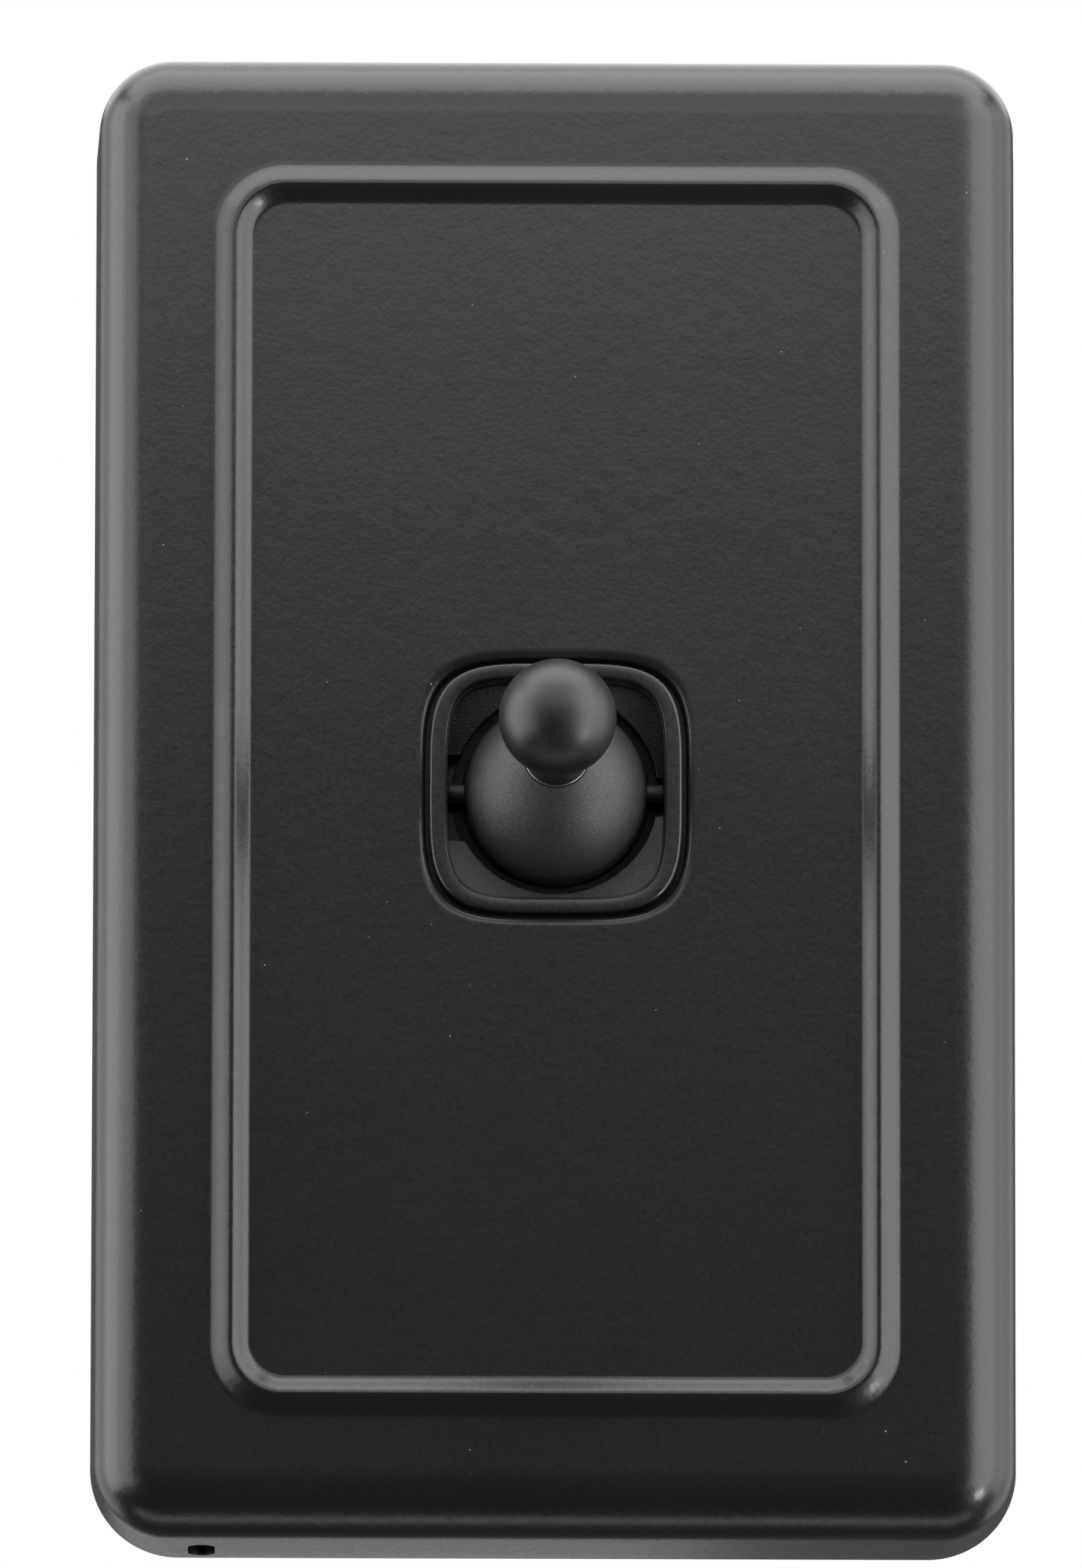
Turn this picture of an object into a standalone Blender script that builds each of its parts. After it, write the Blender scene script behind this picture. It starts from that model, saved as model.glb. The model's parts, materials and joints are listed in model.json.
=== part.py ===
"""Single-gang toggle wall switch: cover plate, mounting frame and snap-action mechanism.

Run with: blender --background --python part.py

X points right, Y points into the wall and Z points up, seen by someone facing the switch.
The wall face is the plane y = 0 and the origin is the middle of the plate's outline on it.
Dimensions are in millimetres and the finished meshes are scaled to metres.
"""

import math

import bmesh
import bpy
from mathutils import Matrix, Vector

METRES_PER_MM = 0.001
GAP = 0.3  # running or fitting clearance between separate pieces

# Cover plate
PLATE_W = 72.0
PLATE_H = 117.3
PLATE_DEPTH = 13.0
PLATE_WALL = 1.2
PLATE_CORNER_R = 6.4
PLATE_BASE_CORNER_R = 8.0
SMALLEST_CORNER_R = 0.6
EDGE_R = 4.8
WALL_DRAFT = math.radians(2.0)
BEAD_MARGIN = 9.4
BEAD_OUTER_SLOPE = 1.6
BEAD_INNER_SLOPE = 1.3
BEAD_HEIGHT = 0.9
BEAD_CORNER_R = 5.3
LIP_R = 0.7
LUG_Z = 24.0
LUG_LENGTH = 6.0
LUG_INSETS = (0.7, 2.6)
LUG_Y = (-3.4, -2.6)
RELEASE_SLOT_X = -27.3
RELEASE_SLOT_W = 2.1
RELEASE_SLOT_Y = (-5.8, -1.4)
RELEASE_SLOT_REACH = 2.0

# Collar round the toggle
OPENING_HALF = 10.15
COLLAR_HALF = OPENING_HALF - GAP
COLLAR_MOUTH = (8.5, 8.75)
COLLAR_THROAT = (8.4, 8.35)
COLLAR_PROUD = 0.1
COLLAR_FLANGE_HALF = 12.0
COLLAR_FLANGE_T = 1.2
COLLAR_CHAMFER = 0.12
SQUIRCLE_POWER = 4.1
INNER_SQUIRCLE_POWER = 4.6

# Toggle
PIVOT_BEHIND_PLATE = 2.9
THROW = math.radians(28.8)
DOME_R = 7.2
DOME_BACK = 4.2
BORE_R = 2.1
NECK_R = 2.45
NECK_START = 6.5
NECK_FLARE = (9.7, 10.9)
KNOB_R = 4.55
KNOB_CENTRE = 14.2
SPIGOT_END = 3.4
SPIGOT_R = BORE_R - GAP
PIN_R = 0.8
PIN_OUTER_X = 8.4
PIN_INNER_X = 3.6
PIN_CHAMFER = 0.2
PLUNGER_R = 1.75
PLUNGER_PEG = (0.6, 0.8)
PLUNGER_TIP = 7.8
PLUNGER_TIP_R = 1.2
PLUNGER_SHOULDER = 1.9
SPRING_R = 1.35
SPRING_WIRE_R = 0.22
SPRING_TURNS = 5

# Mechanism body
BODY_HALF_X = 12.5
BODY_HALF_Z = 17.0
BODY_WALL = 1.5
BODY_BACK = 17.0
BOSS_HALF = 8.9
DOME_HOLE_R = DOME_R + 0.75
FLOOR_BEHIND_PLATE = 2.4
SHOULDER_T = 2.0
SHOULDER_FRONT = -7.5
SHOULDER_CORNER_R = 1.5
EAR_HALF_Z = 25.0
NOTCH_RIGHT = (-1.8, 1.15)
NOTCH_LEFT = (-3.8, 2.9)

# Mounting frame
FRAME_HALF_X = 33.0
FRAME_HALF_Z = 54.5
FRAME_T = 2.5
FRAME_CORNER_R = 5.0
FRAME_COLLAR = (15.5, 26.0)
SNAP_EAR = ((31.7, -2.0), (31.7, -6.4), (32.4, -6.4), (33.6, -5.2), (33.6, -4.0), (32.9, -4.0), (32.9, -2.0))
FIXING_PITCH = 84.0
FIXING_SLOT = (8.0, 4.1)
MECHANISM_SCREW_Z = 21.5
MECHANISM_HOLE_R = 1.55
BODY_SCREW = (9.9, 14.0)
BODY_HOLE_R = 1.3
BODY_POST_R = 2.3
BODY_POST_BORE_END = 6.0
FRAME_COLLAR_CORNER_R = 2.0
FRAME_OPENING_GAP = 0.4
FRAME_OPENING_CORNER_R = 1.2

# Snap contacts
ROCK_ANGLE = math.radians(6.0)
BLADE_HALF_X = 2.2
BLADE_T = 0.8
BLADE_Y = -2.0
BLADE_VALLEY_Y = -1.95
BLADE_HUMP = (3.2, -2.69)
BLADE_FLAT_FROM = 5.2
BLADE_HALF_Z = 9.6
ROCK_AXIS_Y = -1.6
CONTACT_Z = 8.0
CONTACT_HEAD = (1.5, 0.75)
CONTACT_RIVET_R = 0.5
CONTACT_UPSET = (1.1, 0.4)
FIXED_CONTACT_Y = 1.3
STRIP_T = 0.8
STRIP_Y = FIXED_CONTACT_Y + CONTACT_HEAD[1] + GAP
BLOCK_HALF = 3.0
BLOCK_Y = (8.5, 15.3)
BLOCK_CENTRE_Z = 11.9
BLOCK_CENTRE_X = 7.6
WIRE_BORE_R = 1.7
CLAMP_BORE_R = 1.6
CLAMP_ACCESS_R = 2.4
CHAMBER_BACK = 8.2
CENTRE_PILLAR = (2.4, 2.2)
CONTACT_PILLAR_HALF_X = 2.0
CONTACT_PILLAR_Z = (6.0, 8.3)
THROW_STRIP_Z = (5.5, 10.5)
COMMON_STRIP_X = (-3.0, 8.0)
COMMON_STRIP_HALF_Z = 2.0
RIDGE_TOP_HALF = 0.35
RIDGE_FOOT_HALF = 1.1
OVERLAP = 0.3  # depth by which merged solids run into each other

PLATE_FRONT = -PLATE_DEPTH
PIVOT_Y = PLATE_FRONT + PIVOT_BEHIND_PLATE
FLOOR_Y = PLATE_FRONT + FLOOR_BEHIND_PLATE
BODY_FRONT = SHOULDER_FRONT + SHOULDER_T + GAP
BLOCK_MID_Y = sum(BLOCK_Y) / 2
FIXING_Z = FIXING_PITCH / 2

CORNER_STEPS = 10
RING_POINTS = 4 * (CORNER_STEPS + 2)


# ---------------------------------------------------------------- outlines

def rounded_ring(half_x, half_z, radius, y):
    """Rounded rectangle facing Y, with the same number of points whatever its size."""
    quarter = [(half_x, 0.0)]
    for step in range(CORNER_STEPS + 1):
        angle = math.pi / 2 * step / CORNER_STEPS
        quarter.append((half_x - radius + radius * math.cos(angle),
                        half_z - radius + radius * math.sin(angle)))
    points = []
    for turn in range(4):
        flip_x = -1 if turn in (1, 2) else 1
        flip_z = -1 if turn in (2, 3) else 1
        if turn % 2 == 0:
            points += [(flip_x * x, flip_z * z) for x, z in quarter]
        else:
            across = [(0.0, half_z)] + quarter[:0:-1]
            points += [(flip_x * x, flip_z * z) for x, z in across]
    return [Vector((x, y, z)) for x, z in points]


def squircle_ring(half_x, half_z, y, power=SQUIRCLE_POWER):
    """Oblong with bowed sides and soft corners, facing Y."""
    points = []
    for step in range(RING_POINTS):
        angle = 2 * math.pi * step / RING_POINTS
        cosine, sine = math.cos(angle), math.sin(angle)
        x = math.copysign(abs(cosine) ** (2 / power), cosine)
        z = math.copysign(abs(sine) ** (2 / power), sine)
        points.append(Vector((half_x * x, y, half_z * z)))
    return points


def inset_ring(inset, y):
    """Outline of the cover plate, drawn in by an inset; its corners are rounder towards the wall."""
    share = max(0.0, 1 + y / (PLATE_DEPTH - EDGE_R))
    corner_r = PLATE_CORNER_R + (PLATE_BASE_CORNER_R - PLATE_CORNER_R) * share - inset
    return rounded_ring(PLATE_W / 2 - inset, PLATE_H / 2 - inset, max(corner_r, SMALLEST_CORNER_R), y)


# ------------------------------------------------------------------ solids

def bridge(bm, first, second):
    count = len(first)
    for index in range(count):
        following = (index + 1) % count
        bm.faces.new((first[index], first[following], second[following], second[index]))


def loft(rings, closed=False):
    """Skin over a row of rings: closed into a hoop, or with both ends filled."""
    bm = bmesh.new()
    loops = [[bm.verts.new(point) for point in ring] for ring in rings]
    for first, second in zip(loops, loops[1:]):
        bridge(bm, first, second)
    if closed:
        bridge(bm, loops[-1], loops[0])
    else:
        bm.faces.new(loops[0])
        bm.faces.new(loops[-1])
    return bm


def box(x, y, z):
    """Block between three (low, high) pairs."""
    bm = bmesh.new()
    bmesh.ops.create_cube(bm, size=1.0)
    for vert in bm.verts:
        for axis, (low, high) in enumerate((x, y, z)):
            vert.co[axis] = low + (vert.co[axis] + 0.5) * (high - low)
    return bm


def slab(half_x, half_z, radius, y):
    """Rounded rectangular plate between two depths."""
    return loft([rounded_ring(half_x, half_z, radius, depth) for depth in y])


def turned(profile, axis="Y", at=(0.0, 0.0, 0.0), segments=16):
    """Turned solid from (distance along the axis, radius) pairs, end to end."""
    bm = bmesh.new()
    loops = []
    for distance, radius in profile:
        loop = []
        for step in range(segments if radius > 0 else 1):
            angle = 2 * math.pi * step / segments
            local = [radius * math.cos(angle), radius * math.sin(angle)]
            local.insert("XYZ".index(axis), distance)
            loop.append(bm.verts.new(Vector(local) + Vector(at)))
        loops.append(loop)
    for first, second in zip(loops, loops[1:]):
        if len(first) == 1:
            for index in range(segments):
                bm.faces.new((first[0], second[index], second[(index + 1) % segments]))
        elif len(second) == 1:
            for index in range(segments):
                bm.faces.new((second[0], first[index], first[(index + 1) % segments]))
        else:
            bridge(bm, first, second)
    for loop in (loops[0], loops[-1]):
        if len(loop) > 1:
            bm.faces.new(loop)
    return bm


def rod(radius, span, axis="Y", at=(0.0, 0.0, 0.0), segments=16):
    """Plain cylinder between two distances along an axis."""
    return turned([(span[0], radius), (span[1], radius)], axis, at, segments)


def prism(outline_yz, half_x):
    """Outline in the YZ plane, extruded evenly to both sides."""
    return loft([[Vector((x, y, z)) for y, z in outline_yz] for x in (-half_x, half_x)])


def coil(radius, wire_r, span, turns, steps=10, sides=5):
    """Round-wire compression spring along Y."""
    bm = bmesh.new()
    pitch = (span[1] - span[0]) / turns
    loops = []
    for step in range(turns * steps + 1):
        angle = 2 * math.pi * step / steps
        outward = Vector((math.cos(angle), 0.0, math.sin(angle)))
        centre = outward * radius + Vector((0.0, span[0] + pitch * step / steps, 0.0))
        loop = []
        for side in range(sides):
            turn = 2 * math.pi * side / sides
            loop.append(bm.verts.new(centre + outward * wire_r * math.cos(turn)
                                     + Vector((0.0, wire_r * math.sin(turn), 0.0))))
        loops.append(loop)
    for first, second in zip(loops, loops[1:]):
        bridge(bm, first, second)
    bm.faces.new(loops[0])
    bm.faces.new(loops[-1])
    return bm


# ----------------------------------------------------------------- objects

def mesh_object(name, bm):
    bmesh.ops.recalc_face_normals(bm, faces=bm.faces)
    mesh = bpy.data.meshes.new(name)
    bm.to_mesh(mesh)
    bm.free()
    obj = bpy.data.objects.new(name, mesh)
    bpy.context.collection.objects.link(obj)
    return obj


def combine(obj, operation, solids):
    """Boolean each solid with the object in turn, keeping only the result."""
    for solid in solids:
        tool = mesh_object("tool", solid)
        modifier = obj.modifiers.new(operation, "BOOLEAN")
        modifier.operation = operation
        modifier.object = tool
        graph = bpy.context.evaluated_depsgraph_get()
        result = bpy.data.meshes.new_from_object(obj.evaluated_get(graph))
        obj.modifiers.clear()
        before = obj.data
        obj.data = result
        bpy.data.meshes.remove(before)
        bpy.data.objects.remove(tool)
    return obj


def cut(obj, *solids):
    return combine(obj, "DIFFERENCE", solids)


def join(obj, *solids):
    return combine(obj, "UNION", solids)


def finish(obj, material, smooth=35.0):
    """Scale to metres, colour the piece and shade its round faces smooth."""
    obj.data.transform(Matrix.Scale(METRES_PER_MM, 4))
    obj.data.materials.clear()
    obj.data.materials.append(material)
    obj.data.shade_smooth()
    obj.data.set_sharp_from_angle(angle=math.radians(smooth))
    return obj


def make_material(name, colour, roughness, metallic):
    material = bpy.data.materials.new(name)
    material.use_nodes = True
    shader = material.node_tree.nodes["Principled BSDF"]
    shader.inputs["Base Color"].default_value = (*colour, 1.0)
    shader.inputs["Roughness"].default_value = roughness
    shader.inputs["Metallic"].default_value = metallic
    return material


def joint_empty(name, y, tilt):
    empty = bpy.data.objects.new(name, None)
    empty.location = (0.0, y * METRES_PER_MM, 0.0)
    empty.rotation_euler = (tilt, 0.0, 0.0)
    bpy.context.collection.objects.link(empty)
    return empty


# ------------------------------------------------------------- cover plate

def arc_insets(start, centre_y, radius, steps):
    """Quarter-round (inset, depth) pairs from a side wall over to the front."""
    pairs = []
    for step in range(steps + 1):
        angle = (math.pi / 2 - WALL_DRAFT) * step / steps + WALL_DRAFT
        pairs.append((start + radius * (math.cos(WALL_DRAFT) - math.cos(angle)),
                      centre_y - radius * math.sin(angle)))
    return pairs


def bead_rings():
    """Raised rectangular bead: gentle outer slope, rounded crest, steeper inner slope."""
    rings = []
    width = BEAD_OUTER_SLOPE + BEAD_INNER_SLOPE
    for step in range(-4, 5):
        slope = BEAD_OUTER_SLOPE if step < 0 else BEAD_INNER_SLOPE
        offset = BEAD_OUTER_SLOPE + slope * step / 4
        height = BEAD_HEIGHT * (1 + math.cos(math.pi * step / 4)) / 2
        radius = BEAD_CORNER_R - offset * BEAD_CORNER_R / (2 * width)
        rings.append(rounded_ring(PLATE_W / 2 - BEAD_MARGIN - offset,
                                  PLATE_H / 2 - BEAD_MARGIN - offset, radius, PLATE_FRONT - height))
    return rings


def cover_plate():
    inner_front = PLATE_FRONT + PLATE_WALL
    fillet_y = PLATE_FRONT + EDGE_R
    wall_inset = math.tan(WALL_DRAFT) * -fillet_y
    outer = [inset_ring(0.0, 0.0)]
    outer += [inset_ring(inset, y) for inset, y in arc_insets(wall_inset, fillet_y, EDGE_R, 6)]
    lip = []
    for step in range(4):
        angle = math.pi / 2 * step / 3
        half = OPENING_HALF + LIP_R * (1 - math.sin(angle))
        lip.append(squircle_ring(half, half, PLATE_FRONT + LIP_R * (1 - math.cos(angle))))
    inner = [squircle_ring(OPENING_HALF, OPENING_HALF, inner_front)]
    inner_arc = arc_insets(wall_inset + PLATE_WALL, fillet_y, EDGE_R - PLATE_WALL, 4)
    inner += [inset_ring(inset, y) for inset, y in reversed(inner_arc)]
    inner.append(inset_ring(PLATE_WALL, 0.0))
    plate = mesh_object("cover_plate", loft(outer + bead_rings() + lip + inner, closed=True))
    for side in (-1, 1):
        lug_x = sorted(side * (PLATE_W / 2 - inset) for inset in LUG_INSETS)
        for level in (-LUG_Z, LUG_Z):
            join(plate, box(lug_x, LUG_Y, (level - LUG_LENGTH / 2, level + LUG_LENGTH / 2)))
    slot = slab(RELEASE_SLOT_W / 2, (RELEASE_SLOT_Y[1] - RELEASE_SLOT_Y[0]) / 2,
                RELEASE_SLOT_W / 2 - 0.01, (-RELEASE_SLOT_REACH, RELEASE_SLOT_REACH))
    slot.transform(Matrix.Translation((RELEASE_SLOT_X, sum(RELEASE_SLOT_Y) / 2, -PLATE_H / 2))
                   @ Matrix.Rotation(math.radians(90), 4, "X"))
    return cut(plate, slot)


def bezel_collar():
    """Hoop through the plate's opening, with a flange behind the plate and a skirt over the boss."""
    front = PLATE_FRONT - COLLAR_PROUD
    flange_front = PLATE_FRONT + PLATE_WALL + GAP
    flange_back = flange_front + COLLAR_FLANGE_T
    skirt_back = SHOULDER_FRONT - GAP
    outside = [
        (COLLAR_HALF - 0.35, front),
        (COLLAR_HALF - 0.1, front + COLLAR_CHAMFER),
        (COLLAR_HALF, PLATE_FRONT + 0.3),
        (COLLAR_HALF, flange_front),
        (COLLAR_FLANGE_HALF, flange_front),
        (COLLAR_FLANGE_HALF, flange_back),
        (COLLAR_HALF, flange_back),
        (COLLAR_HALF, skirt_back),
        (BOSS_HALF + GAP, skirt_back),
        (BOSS_HALF + GAP, FLOOR_Y - GAP),
    ]
    rings = [squircle_ring(half, half, y) for half, y in outside]
    inside = ((COLLAR_THROAT, FLOOR_Y - GAP, 0.0), (COLLAR_MOUTH, front + COLLAR_CHAMFER, 0.0),
              (COLLAR_MOUTH, front, COLLAR_CHAMFER))
    for (half_x, half_z), y, growth in inside:
        rings.append(squircle_ring(half_x + growth, half_z + growth, y, INNER_SQUIRCLE_POWER))
    return mesh_object("bezel_collar", loft(rings, closed=True))


# --------------------------------------------------------------- mechanism

def mechanism_cover():
    """Front moulding: floor seen round the toggle, bearing notches for the pins, fixing ears."""
    shoulder_back = SHOULDER_FRONT + SHOULDER_T
    shoulder = slab(BODY_HALF_X, EAR_HALF_Z, SHOULDER_CORNER_R, (SHOULDER_FRONT, shoulder_back))
    cover = mesh_object("mechanism_cover", shoulder)
    join(cover, loft([squircle_ring(BOSS_HALF, BOSS_HALF, y) for y in (FLOOR_Y, SHOULDER_FRONT + OVERLAP)]))
    cut(cover, rod(DOME_HOLE_R, (FLOOR_Y - 1, shoulder_back + 1), segments=40))
    notch_bottom = PIVOT_Y + PIN_R + GAP
    for x, span in (((0.0, BOSS_HALF + 1), NOTCH_RIGHT), ((-BOSS_HALF - 1, 0.0), NOTCH_LEFT)):
        cut(cover, box(x, (FLOOR_Y - 1, notch_bottom), span))
    through = (SHOULDER_FRONT - 1, shoulder_back + 1)
    for side in (-1, 1):
        cut(cover, rod(MECHANISM_HOLE_R, through, at=(0, 0, side * MECHANISM_SCREW_Z)))
        cut(cover, rod(BODY_HOLE_R, through, at=(side * BODY_SCREW[0], 0, side * BODY_SCREW[1])))
    return cover


def block_centres():
    """Terminal name, block centre and outward direction of its clamp screw."""
    return (("two", (0.0, BLOCK_CENTRE_Z), (0, 1)), ("one", (0.0, -BLOCK_CENTRE_Z), (0, -1)),
            ("common", (BLOCK_CENTRE_X, 0.0), (1, 0)), ("loop", (-BLOCK_CENTRE_X, 0.0), (-1, 0)))


def mechanism_housing():
    """Moulded body: contact chamber in front, four terminal pockets behind."""
    housing = mesh_object("mechanism_housing", slab(BODY_HALF_X, BODY_HALF_Z, 1.0, (BODY_FRONT, BODY_BACK)))
    inner_x, inner_z = BODY_HALF_X - BODY_WALL, BODY_HALF_Z - BODY_WALL
    cut(housing, box((-inner_x, inner_x), (BODY_FRONT - 1, CHAMBER_BACK), (-inner_z, inner_z)))
    floor = CHAMBER_BACK + OVERLAP
    strip_back = STRIP_Y + STRIP_T + GAP
    rivet_back = strip_back + CONTACT_UPSET[1] + GAP
    pillar_x, pillar_z = CENTRE_PILLAR
    join(housing, box((-pillar_x, pillar_x), (strip_back, floor), (-pillar_z, pillar_z)))
    for side in (-1, 1):
        level = sorted(side * z for z in CONTACT_PILLAR_Z)
        join(housing, box((-CONTACT_PILLAR_HALF_X, CONTACT_PILLAR_HALF_X), (rivet_back, floor), level))
        at = (side * BODY_SCREW[0], 0, side * BODY_SCREW[1])
        join(housing, rod(BODY_POST_R, (BODY_FRONT, floor), at=at))
        cut(housing, rod(BODY_HOLE_R, (BODY_FRONT - 1, BODY_POST_BORE_END), at=at))
    pocket = BLOCK_HALF + GAP
    for _, (x, z), (out_x, out_z) in block_centres():
        cut(housing, box((x - pocket, x + pocket), (CHAMBER_BACK - 1, BLOCK_Y[1] + GAP),
                         (z - pocket, z + pocket)))
        cut(housing, rod(WIRE_BORE_R + GAP, (BLOCK_Y[1], BODY_BACK + 1), at=(x, 0, z)))
        reach = (BODY_HALF_X if out_x else BODY_HALF_Z) + 1
        hole_axis, start = ("X", x) if out_x else ("Z", z)
        span = sorted((start + (out_x + out_z) * BLOCK_HALF, (out_x + out_z) * reach))
        centre = (0, BLOCK_MID_Y, z) if out_x else (x, BLOCK_MID_Y, 0)
        cut(housing, rod(CLAMP_ACCESS_R, span, hole_axis, centre))
    return housing


def toggle_dome():
    """Ball-shaped rocking body, flat behind, bored for the lever spigot, the plunger and the pins."""
    start = math.asin(DOME_BACK / DOME_R)
    steps = 12
    profile = []
    for step in range(steps + 1):
        angle = start - (start + math.pi / 2) * step / steps
        radius = DOME_R * math.cos(angle) if step < steps else 0.0
        profile.append((DOME_R * math.sin(angle), radius))
    dome = mesh_object("toggle_dome", turned(profile, segments=36))
    cut(dome, rod(BORE_R, (-DOME_R - 1, DOME_BACK + 1)))
    cut(dome, rod(NECK_R + GAP, (-DOME_R - 1, -NECK_START + GAP), segments=24))
    for side in (-1, 1):
        cut(dome, rod(PIN_R + GAP, sorted((side * (PIN_INNER_X - GAP), side * (DOME_R + 1))), "X"))
    return dome


def toggle_lever():
    """Turned lever: spigot, neck and ball knob, pointing towards -Y from the pivot."""
    flare_start, flare_end = NECK_FLARE
    ball_angle = math.acos((KNOB_CENTRE - flare_end) / KNOB_R)
    ball_start_r = KNOB_R * math.sin(ball_angle)
    profile = [(SPIGOT_END, 0.0), (SPIGOT_END, SPIGOT_R), (NECK_START, SPIGOT_R), (NECK_START, NECK_R)]
    flare_steps = 5
    for step in range(flare_steps):
        share = step / flare_steps
        profile.append((flare_start + (flare_end - flare_start) * share,
                        NECK_R + (ball_start_r - NECK_R) * share * share))
    ball_steps = 14
    for step in range(ball_steps + 1):
        angle = ball_angle + (math.pi - ball_angle) * step / ball_steps
        radius = KNOB_R * math.sin(angle) if step < ball_steps else 0.0
        profile.append((KNOB_CENTRE - KNOB_R * math.cos(angle), radius))
    return mesh_object("toggle_lever", turned([(-length, radius) for length, radius in profile], segments=28))


def pivot_pin(name, side):
    inner, outer = side * PIN_INNER_X, side * PIN_OUTER_X
    profile = [(inner, PIN_R), (outer - side * PIN_CHAMFER, PIN_R), (outer, PIN_R - PIN_CHAMFER)]
    return mesh_object(name, turned(profile, "X"))


def plunger():
    """Spring-loaded follower that presses on the contact blade behind the toggle."""
    tip_centre = PLUNGER_TIP - PLUNGER_TIP_R
    peg_end, peg_r = PLUNGER_PEG
    profile = [(peg_end, 0.0), (peg_end, peg_r), (PLUNGER_SHOULDER, peg_r), (PLUNGER_SHOULDER, PLUNGER_R),
               (tip_centre - (PLUNGER_R - PLUNGER_TIP_R), PLUNGER_R)]
    tip_steps = 5
    for step in range(tip_steps + 1):
        angle = math.pi / 2 * step / tip_steps
        radius = PLUNGER_TIP_R * math.cos(angle) if step < tip_steps else 0.0
        profile.append((tip_centre + PLUNGER_TIP_R * math.sin(angle), radius))
    return mesh_object("plunger", turned(profile))


def plunger_spring():
    span = (-SPIGOT_END + GAP + SPRING_WIRE_R, PLUNGER_SHOULDER - GAP - SPRING_WIRE_R)
    return mesh_object("plunger_spring", coil(SPRING_R, SPRING_WIRE_R, span, SPRING_TURNS))


# ---------------------------------------------------------------- contacts

def rocker_contact():
    """Gull-winged blade that tips over the fulcrum as the plunger crosses it."""
    hump_z, hump_y = BLADE_HUMP
    half = [(BLADE_VALLEY_Y, 0.0), (hump_y, hump_z), (BLADE_Y, BLADE_FLAT_FROM), (BLADE_Y, BLADE_HALF_Z)]
    front = [(y - ROCK_AXIS_Y, -z) for y, z in half[:0:-1]] + [(y - ROCK_AXIS_Y, z) for y, z in half]
    back = [(y + BLADE_T, z) for y, z in reversed(front)]
    blade = mesh_object("rocker_contact", prism(front + back, BLADE_HALF_X))
    for side in (-1, 1):
        cut(blade, rod(CONTACT_RIVET_R + GAP, (-3, 3), at=(0, 0, side * CONTACT_Z)))
    return blade


def contact_rivet(name, face_y, back_y, level, facing):
    """Riveted contact: working head at face_y, upset tail at back_y on the strip's other side."""
    head_r, head_t = CONTACT_HEAD
    upset_r, upset_t = CONTACT_UPSET
    profile = [(face_y, head_r - 0.3), (face_y + facing * 0.15, head_r), (face_y + facing * head_t, head_r),
               (face_y + facing * head_t, CONTACT_RIVET_R), (back_y - facing * upset_t, CONTACT_RIVET_R),
               (back_y - facing * upset_t, upset_r), (back_y, upset_r)]
    return mesh_object(name, turned(profile, at=(0, 0, level), segments=14))


def terminal_block(obj, centre, outward):
    """Block with a wire bore from behind and a clamp-screw bore from its outer side."""
    x, z = centre
    span_x, span_z = (x - BLOCK_HALF, x + BLOCK_HALF), (z - BLOCK_HALF, z + BLOCK_HALF)
    block = box(span_x, BLOCK_Y, span_z)
    obj = join(obj, block) if isinstance(obj, bpy.types.Object) else mesh_object(obj, block)
    cut(obj, rod(WIRE_BORE_R, (BLOCK_Y[0] + 1.5, BLOCK_Y[1] + 1), at=(x, 0, z)))
    along = outward[0] + outward[1]
    if outward[0]:
        return cut(obj, rod(CLAMP_BORE_R, sorted((x, x + along * (BLOCK_HALF + 1))), "X", (0, BLOCK_MID_Y, z)))
    return cut(obj, rod(CLAMP_BORE_R, sorted((z, z + along * (BLOCK_HALF + 1))), "Z", (x, BLOCK_MID_Y, 0)))


def throw_terminal(name, centre, outward):
    """Terminal whose strip carries a fixed contact."""
    side = outward[1]
    inner_z, outer_z = THROW_STRIP_Z
    trim = 0.01
    strip = mesh_object(name, box((-BLADE_HALF_X, BLADE_HALF_X), (STRIP_Y, STRIP_Y + STRIP_T),
                                  sorted((side * inner_z, side * outer_z))))
    join(strip, box((-BLADE_HALF_X + trim, BLADE_HALF_X - trim), (STRIP_Y + trim, BLOCK_Y[0] + OVERLAP),
                    sorted((side * (outer_z - STRIP_T), side * (outer_z - trim)))))
    cut(strip, rod(CONTACT_RIVET_R + GAP, (STRIP_Y - 1, STRIP_Y + STRIP_T + 1), at=(0, 0, side * CONTACT_Z)))
    return terminal_block(strip, centre, outward)


def common_terminal(name, centre, outward):
    """Terminal whose strip carries the fulcrum ridge under the contact blade."""
    ridge_y = BLADE_VALLEY_Y + BLADE_T + GAP
    foot_y = STRIP_Y + OVERLAP
    trim = 0.01
    strip = mesh_object(name, box(COMMON_STRIP_X, (STRIP_Y, STRIP_Y + STRIP_T),
                                  (-COMMON_STRIP_HALF_Z, COMMON_STRIP_HALF_Z)))
    join(strip, prism([(ridge_y, -RIDGE_TOP_HALF), (ridge_y, RIDGE_TOP_HALF), (foot_y, RIDGE_FOOT_HALF),
                       (foot_y, -RIDGE_FOOT_HALF)], BLADE_HALF_X + 0.4))
    leg_x = (COMMON_STRIP_X[1] - STRIP_T, COMMON_STRIP_X[1] - trim)
    leg_half_z = COMMON_STRIP_HALF_Z - trim
    join(strip, box(leg_x, (foot_y, BLOCK_Y[0] + OVERLAP), (-leg_half_z, leg_half_z)))
    return terminal_block(strip, centre, outward)


# ------------------------------------------------------------------- frame

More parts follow.
